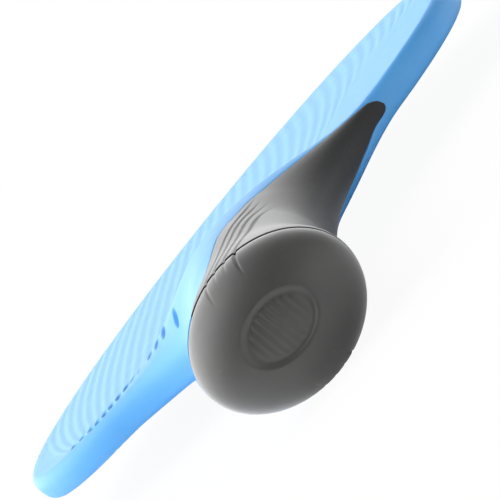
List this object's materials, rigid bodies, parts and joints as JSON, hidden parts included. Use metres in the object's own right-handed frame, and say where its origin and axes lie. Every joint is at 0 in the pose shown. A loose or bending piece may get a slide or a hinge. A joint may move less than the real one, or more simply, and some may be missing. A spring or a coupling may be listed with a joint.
{
  "type": "table tennis bat",
  "caption": "Moulded table tennis bat with rippled soft faces, a blue rim and throat, a dark soft grip that sweeps to one shoulder and a rounded end cap.",
  "frame": {"origin": "centre of the bat's bounding box: in the middle plane of the blade, on its long centre line", "axes": "+Z out of the front playing face, +Y from the butt to the head, +X to the shoulder with the grip's tongue"},
  "size_m": [0.1478, 0.258, 0.0288],
  "materials": {
    "face_rubber": "soft satin",
    "blue_moulding": "soft satin",
    "grip_rubber": "soft matte",
    "cap_rubber": "soft satin",
    "core_polymer": "matte"
  },
  "bodies": {
    "root": {"rim_and_throat": "blue_moulding", "front_face": "face_rubber", "back_face": "face_rubber", "grip_cover": "grip_rubber", "end_cap": "cap_rubber", "blade_core": "core_polymer", "handle_core_front": "core_polymer", "handle_core_back": "core_polymer"}
  },
  "joints": []
}
